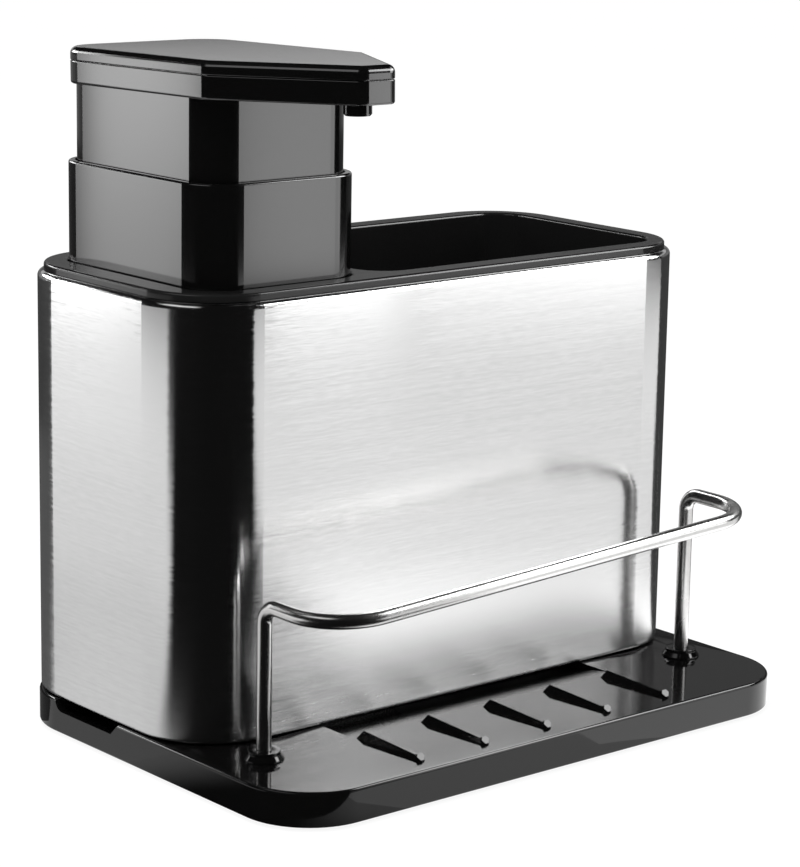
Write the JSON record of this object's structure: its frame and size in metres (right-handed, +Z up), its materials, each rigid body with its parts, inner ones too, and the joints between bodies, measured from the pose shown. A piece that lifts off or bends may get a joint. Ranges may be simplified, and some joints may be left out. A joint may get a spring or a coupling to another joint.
{
  "type": "soap pump caddy",
  "caption": "Soap pump caddy: steel clad bin with a well for brushes and sponges, a lift-out bottle with a spouted pump head, and a drip tray whose shelf has a wire guard rail.",
  "frame": {"origin": "centre of the overall footprint on the ground, under the rubber feet", "axes": "+X along the caddy from the pump end to the well end, +Y from the shelf and rail to the back, +Z up"},
  "size_m": [0.191, 0.1366, 0.1975],
  "materials": {
    "tray_black": "high gloss black",
    "foot_rubber": "dull rubber",
    "rail_steel": "polished wire",
    "ferrule_black": "gloss black",
    "shell_steel": "finely brushed",
    "liner_black": "satin black",
    "bottle_smoke": "smoke tinted",
    "collar_black": "satin black",
    "ring_black": "matt black",
    "gasket_grey": "soft grey",
    "cylinder_natural": "milky",
    "guide_white": "white",
    "tube_natural": "milky",
    "ball_steel": "polished",
    "spring_steel": "bright drawn wire",
    "rod_white": "white",
    "seal_blue": "smooth",
    "stem_white": "white",
    "skirt_black": "satin black",
    "head_black": "satin black",
    "cap_black": "satin black",
    "duct_grey": "plain",
    "nozzle_black": "gloss black"
  },
  "bodies": {
    "tray": {"base_tray": "tray_black", "tray_feet": "foot_rubber", "guard_rail": "rail_steel", "rail_ferrules": "ferrule_black"},
    "caddy": {"steel_shell": "shell_steel", "caddy_liner": "liner_black"},
    "bottle": {"soap_bottle": "bottle_smoke", "bottle_collar": "collar_black", "closure_ring": "ring_black", "closure_gasket": "gasket_grey", "pump_cylinder": "cylinder_natural", "stem_guide": "guide_white", "dip_tube": "tube_natural", "return_spring": "spring_steel"},
    "ball": {"inlet_ball": "ball_steel"},
    "pump_head": {"piston_rod": "rod_white", "piston_seal": "seal_blue", "pump_stem": "stem_white", "pump_skirt": "skirt_black", "head_shell": "head_black", "head_cap": "cap_black", "spout_duct": "duct_grey", "nozzle_tip": "nozzle_black"}
  },
  "joints": [
    {"name": "caddy_lift", "type": "slide", "parent": "tray", "child": "caddy", "axis": [0, 0, 1], "range_m": [0, 0.06]},
    {"name": "bottle_lift", "type": "slide", "parent": "caddy", "child": "bottle", "axis": [0, 0, 1], "range_m": [0, 0.125]},
    {"name": "pump_press", "type": "slide", "parent": "bottle", "child": "pump_head", "axis": [0, 0, -1], "range_m": [0, 0.02], "stiffness_N_per_m": 350, "springref_m": -0.01, "deforming": ["return_spring"]},
    {"name": "inlet_ball_lift", "type": "slide", "parent": "bottle", "child": "ball", "axis": [0, 0, 1], "range_m": [0, 0.0015]}
  ]
}
